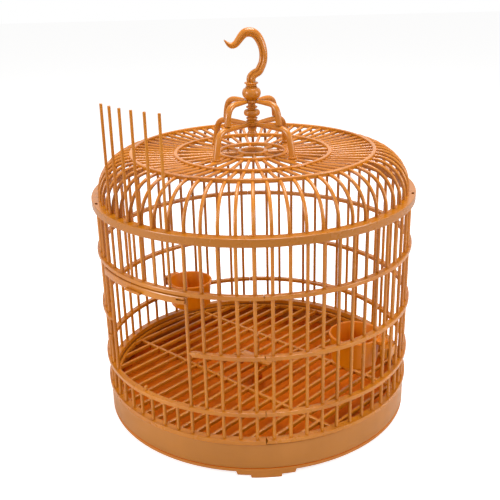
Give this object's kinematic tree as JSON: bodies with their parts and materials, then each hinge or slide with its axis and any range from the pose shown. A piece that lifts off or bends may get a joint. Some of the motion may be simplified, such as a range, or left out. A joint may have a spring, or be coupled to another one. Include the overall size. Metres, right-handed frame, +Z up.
{
  "type": "bird cage",
  "caption": "Round hanging bird cage of moulded plastic bars with a domed top, sliding door, slatted floor over a pan, food cups and a swivel hook.",
  "frame": {"origin": "centre of the cage at the level that its feet stand on", "axes": "+Z up along the cage's axis; -Y is the front, where two wall panels meet; the door is at the front left, between -X and -Y"},
  "size_m": [0.3328, 0.3328, 0.4034],
  "materials": {
    "brown_plastic": "glossy moulded plastic, warm brown",
    "drum_plastic": "smooth satin moulded plastic, light brown",
    "pan_plastic": "satin moulded plastic, deep orange brown",
    "cup_plastic": "glossy slightly translucent moulded plastic, amber"
  },
  "bodies": {
    "cage": {"bottom_pan": "pan_plastic", "drum_ring": "drum_plastic", "floor_grille": "brown_plastic", "wall_panel_front_left": "brown_plastic", "wall_panel_front_right": "brown_plastic", "wall_panel_back_right": "brown_plastic", "wall_panel_back_left": "brown_plastic", "dome": "brown_plastic", "lower_hanger_spider": "brown_plastic", "upper_hanger_spider": "brown_plastic", "hanger_spindle": "brown_plastic", "swivel_ball": "brown_plastic", "hook_collar": "brown_plastic", "cup_holder_left": "brown_plastic", "cup_holder_right": "brown_plastic", "bar_clip": "brown_plastic"},
    "door": {"sliding_door": "brown_plastic"},
    "swivel_hook": {"hook": "brown_plastic", "shank_nut": "brown_plastic"},
    "left_cup": {"cup_left": "cup_plastic"},
    "right_cup": {"cup_right": "cup_plastic"},
    "lock": {"lock_button": "brown_plastic"}
  },
  "joints": [
    {"name": "door_slide", "type": "slide", "parent": "cage", "child": "door", "axis": [0, 0, 1], "range_m": [-0.1055, 0]},
    {"name": "hook_swivel", "type": "hinge", "parent": "cage", "child": "swivel_hook", "pos_m": [0, 0, 0.3513], "axis": [0, 0, 1], "continuous": true},
    {"name": "lock_turn", "type": "hinge", "parent": "cage", "child": "lock", "pos_m": [0, 0, 0.0393], "axis": [0, 0, 1], "range_deg": [0, 90]},
    {"name": "cup_left_lift", "type": "slide", "parent": "cage", "child": "left_cup", "axis": [0, 0, 1], "range_m": [0, 0.03]},
    {"name": "cup_right_lift", "type": "slide", "parent": "cage", "child": "right_cup", "axis": [0, 0, 1], "range_m": [0, 0.03]}
  ]
}
